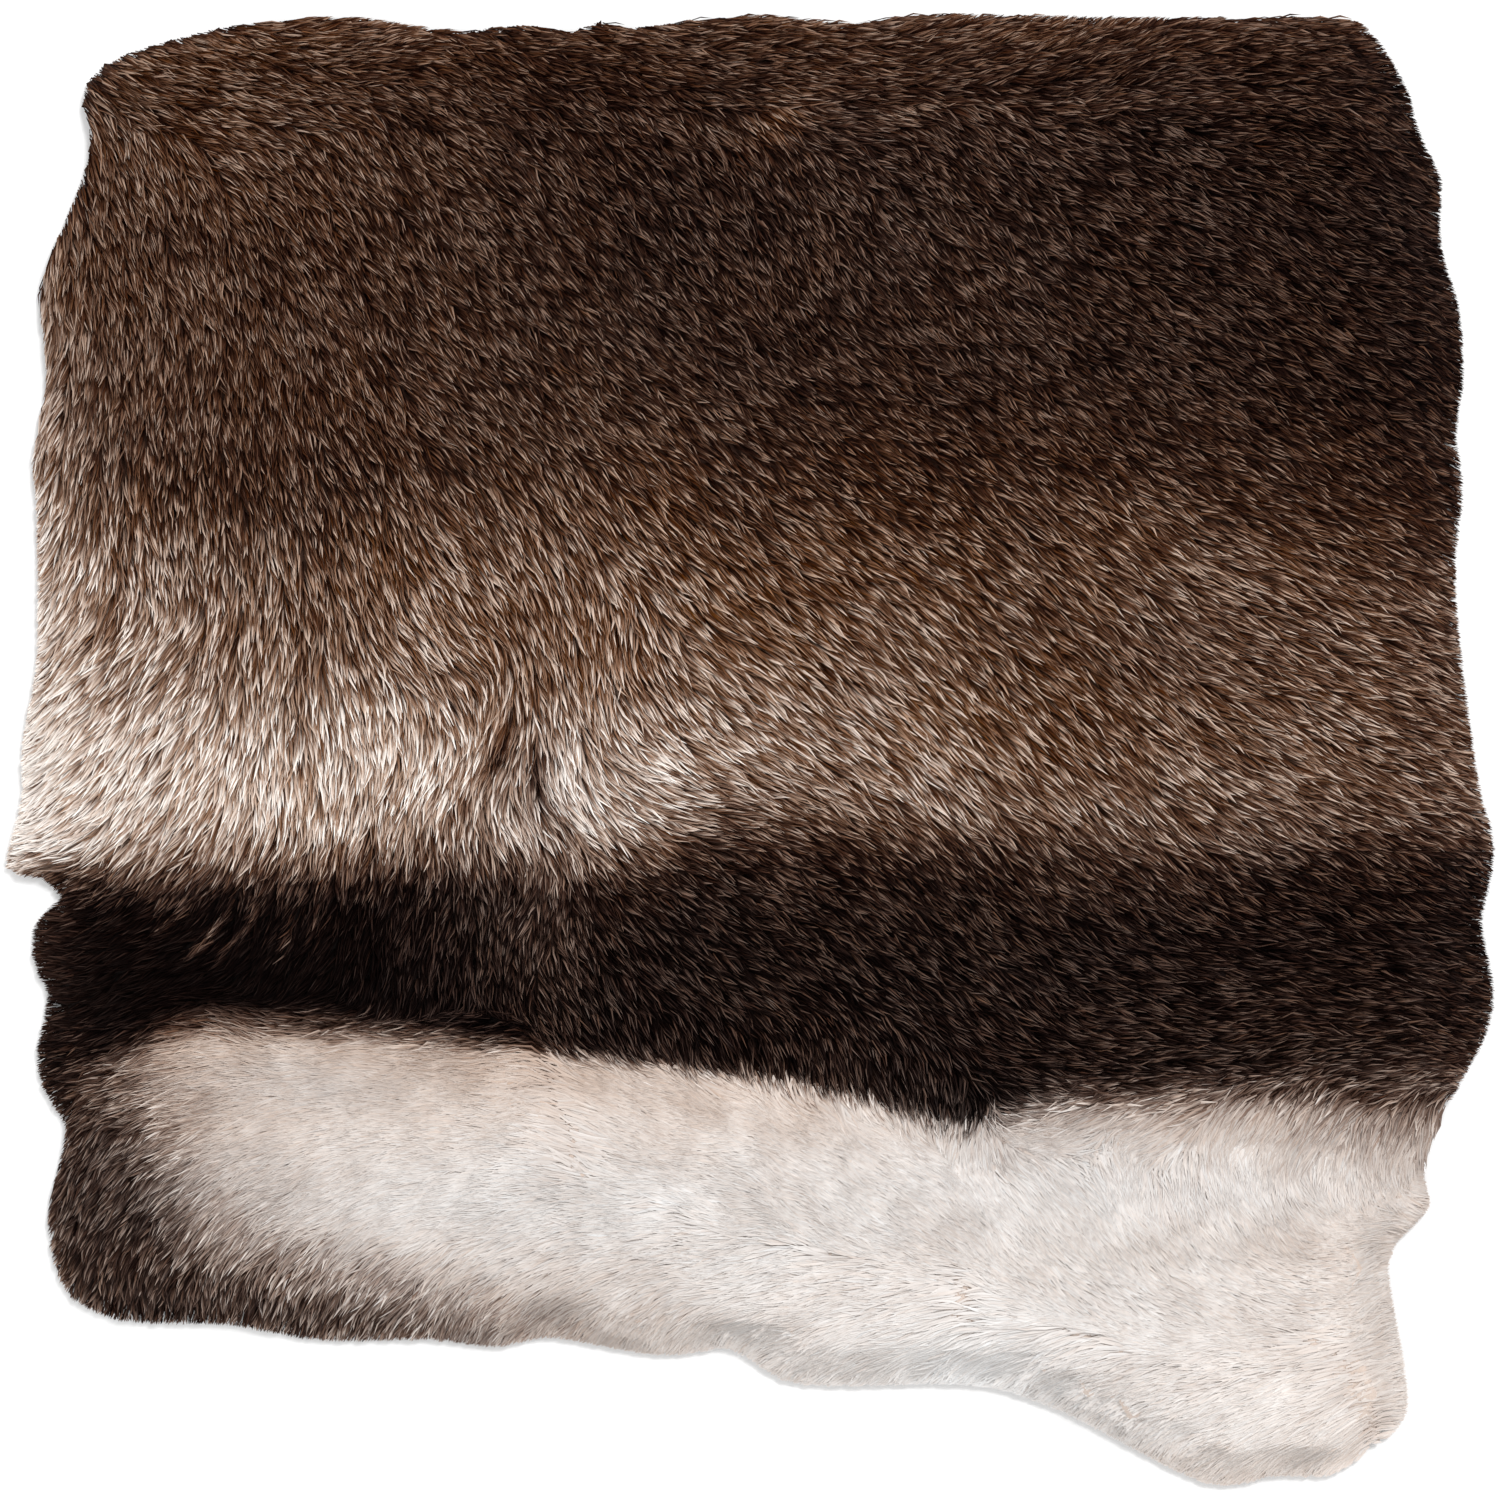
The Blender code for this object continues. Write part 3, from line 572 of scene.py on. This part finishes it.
def growHair(topY, lowY, density, steps, rng, draws):
    root = scatterRoots(topY, lowY, density, rng)
    count = len(root)
    line, sure = layAt(root)
    like = line * np.where(sure + rng.uniform(-1, 1, count) * hair["partBlur"] < 0, -1.0, 1.0)[:, None]
    parted = np.clip(1 - np.abs(sure) / hair["standWidth"], 0, 1)
    flat = 1 - hair["standing"] * parted * (1 - readMap(bellyMap, root))
    length = tableOf("length", readMap(paleMap, root)) * mm * rng.uniform(*hair["lengthSpread"], count) * flat
    turn = rng.normal(0, hair["headingSpread"], count)
    tone = rng.normal(0, hair["ownTone"], count)
    lift = rng.normal(0, 1, count) * (1 - hair["topHairs"]) * hair["layerSpread"]
    bend = rng.normal(0, hair["bend"], count)
    clumps = []
    for level, own in hair["clumps"].items():
        middle, (clumpTurn, clumpLift, clumpTone) = clumpOf(root, draws[level], own["pitch"] * mm)
        turn += clumpTurn * own["turn"]
        lift += clumpLift * own["lift"] * mm
        tone += clumpTone * own["tone"]
        pull = own["pull"] * (1 - hair["bellyEven"] * readMap(bellyMap, root))[:, None]
        clumpLength = length * hair["clumpReach"]
        clumps.append((walk(middle, like, clumpLength, 2, clumpTurn * own["turn"], 0)[-1], pull))
    points = walk(root, like, length, steps, turn, bend)
    reach = np.arange(steps + 1) / steps
    for clumpTip, pull in clumps:
        offset = pull * (clumpTip - points[-1])
        points = [p + offset * r ** 2 for p, r in zip(points, reach)]
    allowed = hair["overhang"] * rng.uniform(*hair["overhangSpread"], count)
    for _ in range(4):  # hairs that would pass the rim are shortened
        past = np.maximum(-readMap(edgeMap, points[-1]) - allowed, 0)
        span = np.maximum(np.linalg.norm(points[-1] - root, axis=1), 1e-6)
        keep = np.clip(1 - past / span, 0.3, 1)[:, None]
        points = [root + (p - root) * keep for p in points]

    tone = np.clip(tone, -hair["toneLimit"], hair["toneLimit"])
    shown = root + (points[-1] - root) * rng.uniform(*hair["colourAt"], count)[:, None]
    pale, glow = readMap(paleMap, shown), readMap(bellyMap, shown)
    lift = (lift + tone * hair["topHairs"] * hair["layerSpread"]) * (1 - hair["bellyCalm"] * glow)
    sink = hair["sink"] * (1 - (1 - hair["bellySink"]) * glow) * (1 - (1 - hair["partSink"]) * parted)
    rimDepth, leastSink = hair["rimShallow"]
    nearEdge = np.clip(readMap(edgeMap, root) / rimDepth, leastSink, 1)
    path = []
    for p, r in zip(points, reach):
        z = readMap(heightMap, p) - sink * nearEdge * (1 - r) ** hair["sinkCurve"]
        z += (hair["tipLift"] + lift) * r
        path.append(np.column_stack([p, np.maximum(z, hair["lowest"])]))
    spread = tableOf("paleSpread", pale) * (1 - readMap(calmMap, shown))
    spread *= 1 - (1 - hair["bellySpread"]) * glow
    pale = np.minimum(pale * np.exp(spread * (tone - hair["toneMiddle"])), pale + tableOf("palest", pale))
    # Painted shade: a few hairs of band and flank are made dark, for the shaded gaps between the pale ones
    dark = (rng.random(count) < hair["gapShadeHairs"]) & (glow < 0.1) & (pale > 0.3)
    pale[dark] *= rng.uniform(*hair["gapShadeTone"], dark.sum())
    odd = (rng.random(count) < hair["oddHairs"]) & (glow > 0.5)
    pale[odd] -= rng.uniform(*hair["oddTone"], odd.sum())
    # Painted shade along each hair: dark at its root deep in the coat, and painted brighter than its own
    # colour at the tip
    rootShade = hair["rootShade"] + (hair["bellyRootShade"] - hair["rootShade"]) * glow
    climb = reach ** hair["shadeCurve"]
    shade = rootShade[:, None] * (1 - climb) + hair["tipShade"] * climb
    warmth = readMap(warmMap, shown) + rng.normal(0, hair["warmthSpread"], count)
    warmth -= hair["toneWarmth"] * tone * (1 - glow)
    return np.stack(path, 1), pale.clip(*hair["paleLimits"]), warmth, shade, 1 - hair["bellyCalm"] * glow


# Values of a hair's steps as those of its blade's corners: two to a step, and one at the tip
def pairUp(perStep):
    steps = perStep.shape[1] - 1
    return perStep[:, np.append(np.repeat(np.arange(steps), 2), steps)]


def bladesOf(path, width, roll, rounding, calm):
    steps = path.shape[1] - 1
    way = unit(path[:, -1] - path[:, 0])
    side = unit(np.cross(way, (0, 0, 1.0)))
    up = np.cross(side, way)
    across = side * np.cos(roll)[:, None] + up * np.sin(roll)[:, None]
    over = unit(np.cross(across, way) * (1 - calm)[:, None] + np.outer(calm, (0, 0, 1.0)))
    half = pairUp(np.outer(width / 2, hair["taper"][steps]))
    sign = np.append(np.tile((-1.0, 1.0), steps), 0)
    points = pairUp(path) + across[:, None] * (half * sign)[:, :, None]
    return points, unit(over[:, None] + across[:, None] * np.outer(rounding, sign)[:, :, None])


def bladeFaces(steps):
    faces = []
    for k in range(0, 2 * (steps - 1), 2):
        faces += [(k, k + 1, k + 3), (k, k + 3, k + 2)]
    return np.array([*faces, (2 * steps - 2, 2 * steps - 1, 2 * steps)])


def bladeMesh(name, points, normals, values):
    count, corners = points.shape[:2]
    steps = (corners - 1) // 2
    oneBlade = bladeFaces(steps)
    faces = (oneBlade[None] + (np.arange(count) * corners)[:, None, None]).reshape(-1, 3)
    mesh = bpy.data.meshes.new(name)
    mesh.vertices.add(count * corners)
    mesh.vertices.foreach_set("co", points.astype(np.float32).ravel())
    mesh.loops.add(faces.size)
    mesh.loops.foreach_set("vertex_index", faces.astype(np.int32).ravel())
    mesh.polygons.add(len(faces))
    mesh.polygons.foreach_set("loop_start", np.arange(0, faces.size, 3, dtype=np.int32))
    mesh.update(calc_edges=True)
    mesh.validate()
    for label, data in values.items():
        attribute = mesh.attributes.new(label, "FLOAT", "POINT")
        attribute.data.foreach_set("value", data.astype(np.float32).ravel())
    # Each blade has its own square of the map, so that its colours can be kept with the mesh.
    side = math.ceil(math.sqrt(count))
    square = np.column_stack([np.arange(count) % side, np.arange(count) // side])
    height = np.linspace(0.06, 0.94, steps + 1)
    corner = np.array([*[(x, h) for h in height[:-1] for x in (0.12, 0.88)], (0.5, height[-1])])
    uv = (square[:, None] + corner[oneBlade.ravel()][None]) / side
    layer = mesh.uv_layers.new(name="OFBake")
    layer.data.foreach_set("uv", uv.astype(np.float32).ravel())
    mesh.shade_smooth()
    mesh.normals_split_custom_set_from_vertices(normals.reshape(-1, 3).tolist())
    return mesh


def addObject(name, data):
    made = bpy.data.objects.new(name, data)
    bpy.context.scene.collection.objects.link(made)
    return made


def growZone(name, topY, lowY, density, steps, rng, draws):
    path, pale, warmth, shade, relief = growHair(topY, lowY, density, steps, rng, draws)
    count = len(path)
    width = tableOf("width", pale) * mm * rng.uniform(*hair["widthSpread"], count)
    roll = rng.normal(0, hair["rollSpread"], count).clip(-hair["rollLimit"], hair["rollLimit"]) * relief
    points, normals = bladesOf(path, width, roll, hair["rounding"] * relief, 1 - relief)
    corners = points.shape[1]
    values = {
        "paleness": np.repeat(pale, corners),
        "warmth": np.repeat(warmth, corners),
        "shade": pairUp(shade),
    }
    fur = addObject(name, bladeMesh(name, points, normals, values))
    print(name, "grown:", count, "hairs,", len(fur.data.polygons), "faces")
    return fur


# Materials

def fromScreen(red, green, blue):  # a colour as seen on a screen, 0 to 255, as Blender's linear colour
    linear = [((c / 255 + 0.055) / 1.055) ** 2.4 if c > 10 else c / 255 / 12.92 for c in (red, green, blue)]
    return (*linear, 1.0)


coatColours = {  # paleness: colour on a screen, 0 to 255
    0.03: (6, 1, 1),
    0.08: (19, 9, 7),
    0.14: (36, 21, 17),
    0.21: (54, 36, 29),
    0.30: (77, 52, 41),
    0.41: (105, 78, 62),
    0.50: (128, 101, 86),
    0.60: (154, 127, 110),
    0.73: (188, 165, 149),
    0.84: (215, 198, 186),
    0.92: (236, 223, 213),
    0.98: (250, 244, 238),
}

shadePowers = {"Red": 0.9, "Green": 1.1, "Blue": 1.22}  # shaded hair is redder, as light passes through it
coatDrift = {
    "depthScale": 70.0,  # of the slow noise that makes patches of the coat paler or darker
    "warmthScale": 40.0,  # of the one that makes them warmer or greyer
    "warmth": 0.5,
    "richness": 0.5,  # how far warmth moves the colour's saturation
    "roughness": (0.45, 0.2),  # the least, and how much the slow noise adds
}
hairFinish = {"specular": 0.02, "blotches": 0.9}


# Another node's output is linked to an input, and anything else is the input's own value
def setInputs(tree, node, values):
    for key, value in values.items():
        if isinstance(value, bpy.types.NodeSocket):
            tree.links.new(value, node.inputs[key])
        else:
            node.inputs[key].default_value = value


def addNode(tree, kind, settings=None, **values):
    node = tree.nodes.new(kind)
    for key, value in (settings or {}).items():
        setattr(node, key, value)
    setInputs(tree, node, values)
    return node


def math2(tree, operation, a, b, clamp=False):
    node = addNode(tree, "ShaderNodeMath", {"operation": operation, "use_clamp": clamp})
    setInputs(tree, node, {0: a, 1: b})
    return node.outputs[0]


def mapRange(tree, source, fromMin, fromMax, toMin, toMax):
    ends = {"From Min": fromMin, "From Max": fromMax, "To Min": toMin, "To Max": toMax}
    return addNode(tree, "ShaderNodeMapRange", Value=source, **ends).outputs[0]


def makeCoatColour():  # colour of the coat from its paleness, with slow drifts in warmth and depth, darkened by painted shade
    group = bpy.data.node_groups.new("coatColour", "ShaderNodeTree")
    for label, value in (("Paleness", 0.5), ("Warmth", 0.0), ("Blotches", 0.5), ("Shade", 1.0)):
        socket = group.interface.new_socket(label, in_out="INPUT", socket_type="NodeSocketFloat")
        socket.default_value = value
    for label, kind in (("Colour", "NodeSocketColor"), ("Roughness", "NodeSocketFloat")):
        group.interface.new_socket(label, in_out="OUTPUT", socket_type=kind)
    given = group.nodes.new("NodeGroupInput").outputs
    place = addNode(group, "ShaderNodeTexCoord").outputs["Object"]
    slow = addNode(group, "ShaderNodeTexNoise", Vector=place, Scale=coatDrift["depthScale"], Detail=3.0,
                   Roughness=0.6).outputs["Fac"]
    warm = addNode(group, "ShaderNodeTexNoise", Vector=place, Scale=coatDrift["warmthScale"], Detail=2.0,
                   Roughness=0.5).outputs["Fac"]
    depth = math2(group, "SUBTRACT", 1.05, given["Paleness"])
    drift = math2(group, "MULTIPLY", math2(group, "SUBTRACT", slow, 0.5), depth)
    drift = math2(group, "MULTIPLY", drift, given["Blotches"])
    drift = math2(group, "ADD", drift, 1.0)
    scaled = math2(group, "MULTIPLY", drift, given["Paleness"], clamp=True)
    ramp = addNode(group, "ShaderNodeValToRGB", Fac=scaled)
    stops = list(coatColours.items())
    ramp.color_ramp.elements[0].position, ramp.color_ramp.elements[1].position = stops[0][0], stops[-1][0]
    for position, _ in stops[1:-1]:
        ramp.color_ramp.elements.new(position)
    for element, (_, colour) in zip(ramp.color_ramp.elements, stops):
        element.color = fromScreen(*colour)
    warmer = math2(group, "MULTIPLY", math2(group, "SUBTRACT", warm, 0.5), coatDrift["warmth"])
    warmer = math2(group, "ADD", warmer, given["Warmth"])
    richness = math2(group, "ADD", math2(group, "MULTIPLY", warmer, coatDrift["richness"]), 1.0)
    tinted = addNode(group, "ShaderNodeHueSaturation", Saturation=richness, Color=ramp.outputs["Color"])
    # Painted shade: the Shade value darkens the colour, each channel by its own power
    shades = {channel: math2(group, "POWER", given["Shade"], power) for channel, power in shadePowers.items()}
    depths = addNode(group, "ShaderNodeCombineColor", **shades)
    shaded = addNode(group, "ShaderNodeMix", {"data_type": "RGBA", "blend_type": "MULTIPLY"}, Factor=1.0)
    setInputs(group, shaded, {6: tinted.outputs["Color"], 7: depths.outputs["Color"]})
    leastRough, addedRough = coatDrift["roughness"]
    rough = math2(group, "ADD", math2(group, "MULTIPLY", slow, addedRough), leastRough)
    out = group.nodes.new("NodeGroupOutput")
    setInputs(group, out, {"Colour": shaded.outputs[2], "Roughness": rough})
    return group


def newMaterial(name):
    material = bpy.data.materials.new(name)
    material.use_nodes = True
    return material, material.node_tree, material.node_tree.nodes["Principled BSDF"]


def makeHairMaterial(coatColour):
    material, tree, shader = newMaterial("reindeerHair")
    read = {}
    for label in ("paleness", "warmth", "shade"):
        attribute = addNode(tree, "ShaderNodeAttribute", {"attribute_name": label})
        read[label.capitalize()] = attribute.outputs["Fac"]
    read["Blotches"] = hairFinish["blotches"]
    colour = addNode(tree, "ShaderNodeGroup", {"node_tree": coatColour}, **read)
    setInputs(tree, shader, {
        "Base Color": colour.outputs["Colour"],
        "Roughness": colour.outputs["Roughness"],
        "Specular IOR Level": hairFinish["specular"],
    })
    return material


# Undercoat: the woolly body that the hairs stand in

undercoat = {
    "sunk": 2.4 * mm,  # how far it lies under the coat's top
    "bellySunk": 0.6 * mm,
    "rimInset": 0.9 * mm,  # how far its rim stands back inside the locks' tips
    "rimDepth": 8 * mm,  # how far in from the rim that is felt
    "floor": 1.55 * mm,  # its flat underside, just clear of the leather
    "shade": 0.35,  # painted shade: how dark it is painted in the brown coat, beside the white, for the shade deep between the hairs
    "shadeBetween": (0.45, 0.75),  # the paleness over which that ends
    "blotches": 0.4,
    "warmth": -0.2,
    "curlScale": 1500.0,
    "curlDepth": 0.4 * mm,
    "roughness": 0.9,
    "specular": 0.15,
}


def buildUndercoat():
    mesh = bpy.data.meshes.new("undercoat")
    points = hidePoints.copy()
    onTop = points[:, 2] > undercoat["floor"]
    nearRim = np.clip(1 - readMap(edgeMap, points[:, :2]) / undercoat["rimDepth"], 0, 1)
    inset = nearRim * undercoat["rimInset"]
    points[:, :2] -= readMap(outwardMap, points[:, :2]) * (inset * onTop)[:, None]
    glow = readMap(bellyMap, points[:, :2])
    sunk = undercoat["sunk"] + (undercoat["bellySunk"] - undercoat["sunk"]) * glow
    points[onTop, 2] = np.maximum(points[onTop, 2] - sunk[onTop], undercoat["floor"])
    points[~onTop, 2] = undercoat["floor"]
    mesh.from_pydata(points.tolist(), [], hideFaces.tolist())
    coat = addObject("undercoat", mesh)
    attribute = mesh.attributes.new("paleness", "FLOAT", "POINT")
    attribute.data.foreach_set("value", readMap(paleMap, points[:, :2]).clip(0.03, 0.97).astype(np.float32))
    mesh.shade_smooth()
    print("undercoat built:", len(mesh.polygons), "faces")
    return coat


def makeUndercoatMaterial(coatColour):
    material, tree, shader = newMaterial("reindeerUndercoat")
    pale = addNode(tree, "ShaderNodeAttribute", {"attribute_name": "paleness"}).outputs["Fac"]
    # Painted shade: the undercoat is darkened where the coat is brown, for the shade deep between the hairs
    shade = mapRange(tree, pale, *undercoat["shadeBetween"], undercoat["shade"], 1.0)
    colour = addNode(tree, "ShaderNodeGroup", {"node_tree": coatColour}, Paleness=pale, Shade=shade,
                     Blotches=undercoat["blotches"], Warmth=undercoat["warmth"])
    place = addNode(tree, "ShaderNodeTexCoord").outputs["Object"]
    curl = addNode(tree, "ShaderNodeTexNoise", Vector=place, Scale=undercoat["curlScale"], Detail=3.0,
                   Roughness=0.65, Distortion=0.6)
    bump = addNode(tree, "ShaderNodeBump", Height=curl.outputs["Fac"], Strength=0.6,
                   Distance=undercoat["curlDepth"])
    setInputs(tree, shader, {
        "Base Color": colour.outputs["Colour"],
        "Normal": bump.outputs["Normal"],
        "Roughness": undercoat["roughness"],
        "Specular IOR Level": undercoat["specular"],
    })
    return material


# Leather: the thin tanned skin that carries the coat, with its flesh side down

leather = {
    "thickness": 1.5 * mm,
    "round": 0.35 * mm,  # how much the cut edge is rounded
    "colour": (206, 188, 164),
    "stain": (168, 141, 112),
    "edge": (226, 214, 196),
    "stainScale": 22.0,
    "stainBetween": (0.32, 0.68),
    "napScale": 900.0,
    "wrinkleScale": 160.0,
    "reliefDepth": 0.3 * mm,
    "paleEdge": 0.5 * mm,  # height over which the cut edge's colour fades in
    "roughness": (0.72, 0.2),  # the least, and how much the nap adds
    "sheen": 0.2,
}


def buildLeather():
    loop = leatherEdge
    ahead, behind = np.roll(loop, -1, 0), np.roll(loop, 1, 0)
    run = ahead - behind
    run /= np.linalg.norm(run, axis=1)[:, None]
    inward = np.column_stack([-run[:, 1], run[:, 0]])
    if not insideLoop(loop, loop[:1] + inward[:1] * mm)[0]:
        inward = -inward
    count = len(loop)
    rings = [(leather["round"], 0.0), (0.0, leather["round"]),
             (0.0, leather["thickness"] - leather["round"]), (leather["round"], leather["thickness"])]
    points = np.concatenate([np.column_stack([loop + inward * d, np.full(count, z)]) for d, z in rings])
    faces = []
    for ring in range(len(rings) - 1):
        for k in range(count):
            a, b = ring * count + k, ring * count + (k + 1) % count
            faces.append((a, b, b + count, a + count))
    faces.append(tuple(range(count))[::-1])
    faces.append(tuple(range((len(rings) - 1) * count, len(rings) * count)))
    mesh = bpy.data.meshes.new("leather")
    mesh.from_pydata(points.tolist(), [], faces)
    mesh.validate()
    skin = addObject("leather", mesh)
    x, y = loop.T
    area = abs(0.5 * (x * np.roll(y, -1) - y * np.roll(x, -1)).sum())
    print("leather cut:", round(area, 4), "square metres")
    return skin, np.ptp(loop, axis=0), area


def makeLeatherMaterial():
    material, tree, shader = newMaterial("reindeerSuede")
    place = addNode(tree, "ShaderNodeTexCoord").outputs["Object"]
    stains = addNode(tree, "ShaderNodeTexNoise", Vector=place, Scale=leather["stainScale"], Detail=5.0,
                     Roughness=0.6, Distortion=0.8)
    nap = addNode(tree, "ShaderNodeTexNoise", Vector=place, Scale=leather["napScale"], Detail=4.0,
                  Roughness=0.7).outputs["Fac"]
    wrinkles = addNode(tree, "ShaderNodeTexVoronoi", {"feature": "DISTANCE_TO_EDGE"}, Vector=place,
                       Scale=leather["wrinkleScale"]).outputs["Distance"]
    ramp = addNode(tree, "ShaderNodeValToRGB", Fac=stains.outputs["Fac"])
    ends = zip(ramp.color_ramp.elements, leather["stainBetween"], ("stain", "colour"))
    for element, position, colour in ends:
        element.position = position
        element.color = fromScreen(*leather[colour])
    height = addNode(tree, "ShaderNodeSeparateXYZ", Vector=place).outputs["Z"]
    mix = addNode(tree, "ShaderNodeMix", {"data_type": "RGBA"},
                  Factor=mapRange(tree, height, 0.0, leather["paleEdge"], 0.0, 1.0))
    setInputs(tree, mix, {6: ramp.outputs["Color"], 7: fromScreen(*leather["edge"])})
    relief = math2(tree, "ADD", math2(tree, "MULTIPLY", nap, 0.6), math2(tree, "MULTIPLY", wrinkles, 1.2))
    bump = addNode(tree, "ShaderNodeBump", Height=relief, Strength=0.5, Distance=leather["reliefDepth"])
    leastRough, addedRough = leather["roughness"]
    setInputs(tree, shader, {
        "Base Color": mix.outputs[2],
        "Normal": bump.outputs["Normal"],
        "Roughness": math2(tree, "ADD", math2(tree, "MULTIPLY", nap, addedRough), leastRough),
        "Sheen Weight": leather["sheen"],
    })
    return material


# Put together

coatColour = makeCoatColour()
hairMaterial = makeHairMaterial(coatColour)

undercoatPiece = buildUndercoat()
undercoatPiece.data.materials.append(makeUndercoatMaterial(coatColour))
leatherPiece, leatherSpan, leatherArea = buildLeather()
leatherPiece.data.materials.append(makeLeatherMaterial())

hairRandom = np.random.default_rng(hair["seed"])
clumpDraws = {"strand": hairRandom.random((251, 251, 5)), "tuft": hairRandom.random((97, 97, 5))}
furPieces = []
topOfZone = 210
for zoneName, (zoneLow, zoneDensity, zoneSteps) in hair["zones"].items():
    fur = growZone(zoneName, topOfZone, zoneLow, zoneDensity, zoneSteps, hairRandom, clumpDraws)
    fur.data.materials.append(hairMaterial)
    furPieces.append(fur)
    topOfZone = zoneLow

for piece in (undercoatPiece, leatherPiece, *furPieces):
    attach(piece, "root")
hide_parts("hide")


# Studio

studio = {
    "floorSize": 6.0,
    "floorColour": (0.92, 0.92, 0.92, 1.0),
    "worldLight": 0.8,
    "key": {"power": 32.0, "place": (0.7, 1.1, 1.8), "size": 0.7},
    "fill": {"power": 10.0, "place": (-1.3, -0.9, 1.6), "size": 1.8},
    "viewWidth": 0.402,  # metres across the picture, at the rim's height
    "rimHeight": 0.004,
    "lens": 100.0,
    "sensor": 36.0,
}


def areaLight(name, power, place, size):
    data = bpy.data.lights.new(name, "AREA")
    data.energy, data.size, data.shape = power, size, "DISK"
    lamp = addObject(name, data)
    lamp.location = place
    lamp.rotation_mode = "QUATERNION"
    lamp.rotation_quaternion = (-Vector(place)).to_track_quat("-Z", "Y")


def buildStudio():
    half = studio["floorSize"] / 2
    mesh = bpy.data.meshes.new("floor")
    corners = [(-half, -half, 0), (half, -half, 0), (half, half, 0), (-half, half, 0)]
    mesh.from_pydata(corners, [], [(0, 1, 2, 3)])
    floor = addObject("floor", mesh)
    material, tree, shader = newMaterial("paleFloor")
    setInputs(tree, shader, {
        "Base Color": studio["floorColour"],
        "Roughness": 0.9,
        "Specular IOR Level": 0.0,
    })
    mesh.materials.append(material)
    world = bpy.data.worlds.new("studio")
    world.use_nodes = True
    background = world.node_tree.nodes["Background"]
    setInputs(world.node_tree, background, {"Color": (1, 1, 1, 1), "Strength": studio["worldLight"]})
    bpy.context.scene.world = world
    for name in ("key", "fill"):
        areaLight(name, **studio[name])


def placeCamera():
    data = bpy.data.cameras.new("camera")
    data.lens, data.sensor_width = studio["lens"], studio["sensor"]
    camera = addObject("camera", data)
    away = studio["viewWidth"] * studio["lens"] / studio["sensor"]
    middle = (cadLow + cadHigh) / 2
    camera.location = (middle.x, middle.y, away + studio["rimHeight"])
    bpy.context.scene.camera = camera


buildStudio()
placeCamera()
bpy.context.scene.view_settings.view_transform = "Standard"
